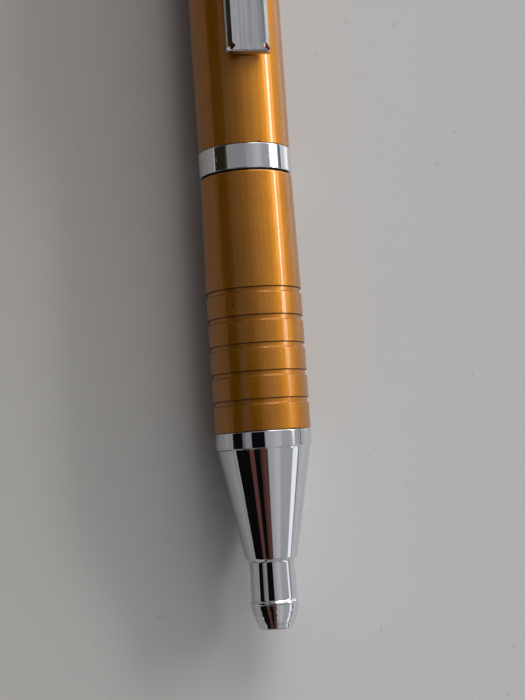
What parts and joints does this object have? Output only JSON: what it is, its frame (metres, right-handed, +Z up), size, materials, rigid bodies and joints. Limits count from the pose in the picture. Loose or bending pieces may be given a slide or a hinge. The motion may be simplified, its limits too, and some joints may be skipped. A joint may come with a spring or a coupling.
{
  "type": "pull-open ballpoint pen",
  "caption": "Slim pull-open ballpoint pen with a grooved lacquered grip, chrome nose and spring clip; drawing the rear barrel back lengthens it and pushes the point out.",
  "frame": {"origin": "on the surface the pen lies on, under its axis, halfway along its closed length", "axes": "+Y along the pen from the nose towards the rear end, +Z up through the clip"},
  "size_m": [0.0094, 0.109, 0.0115],
  "materials": {
    "lacquer": "glossy orange-gold metallic lacquer",
    "chrome": "polished chrome plate",
    "steel": "bright drawn steel",
    "brass": "turned brass",
    "white_plastic": "moulded, satin",
    "black_plastic": "moulded, satin",
    "rubber": "matt"
  },
  "bodies": {
    "front": {"grip_barrel": "lacquer", "grip_liner": "black_plastic", "slide_tube": "chrome", "stop_collar": "brass", "slide_o_ring": "rubber", "spring_seat": "brass", "refill_spring": "steel", "cam_stop_ring": "brass", "tube_end_plug": "brass"},
    "collar": {"front_collar": "chrome"},
    "nose": {"nose_cone": "chrome", "nose_tip": "chrome"},
    "rear": {"centre_ring": "chrome", "slide_bush": "black_plastic", "rear_barrel": "lacquer", "pull_rod": "steel", "drive_pin": "steel", "rear_plug": "brass", "clip_band": "chrome", "end_cap": "chrome"},
    "clip": {"clip_arm": "chrome"},
    "cam": {"cam_sleeve": "white_plastic"},
    "refill": {"refill_tube": "steel", "refill_point": "brass", "refill_holder": "white_plastic", "holder_pin": "steel"},
    "ball": {"refill_ball": "steel"}
  },
  "joints": [
    {"name": "rear_pull", "type": "slide", "parent": "front", "child": "rear", "axis": [0, 1, 0], "range_m": [0, 0.019]},
    {"name": "clip_lift", "type": "hinge", "parent": "rear", "child": "clip", "pos_m": [0, 0.04994, 0.00819], "axis": [-1, 0, 0], "range_deg": [0, 4], "stiffness_Nm_per_rad": 0.8, "springref_deg": -1.15},
    {"name": "cam_turn", "type": "hinge", "parent": "front", "child": "cam", "pos_m": [0, 0.00979, 0.00469], "axis": [0, 1, 0], "range_deg": [0, 180]},
    {"name": "refill_feed", "type": "slide", "parent": "front", "child": "refill", "axis": [0, -1, 0], "range_m": [0, 0.003], "stiffness_N_per_m": 100, "springref_m": -0.002, "deforming": ["refill_spring"]},
    {"name": "nose_feed", "type": "slide", "parent": "front", "child": "collar", "axis": [0, -1, 0], "range_m": [0, 0.0045]},
    {"name": "nose_turn", "type": "hinge", "parent": "collar", "child": "nose", "pos_m": [0, -0.04786, 0.00469], "axis": [0, -1, 0], "range_deg": [0, 1620]},
    {"name": "ball_roll", "type": "hinge", "parent": "refill", "child": "ball", "pos_m": [0, -0.05359, 0.00469], "axis": [1, 0, 0], "continuous": true}
  ],
  "couplings": [
    {"joint": "cam_turn", "follows": "rear_pull", "rad_per_m": 165.35},
    {"joint": "refill_feed", "follows": "rear_pull", "ratio": 0.15789},
    {"joint": "nose_turn", "follows": "nose_feed", "rad_per_m": 6283.2}
  ]
}
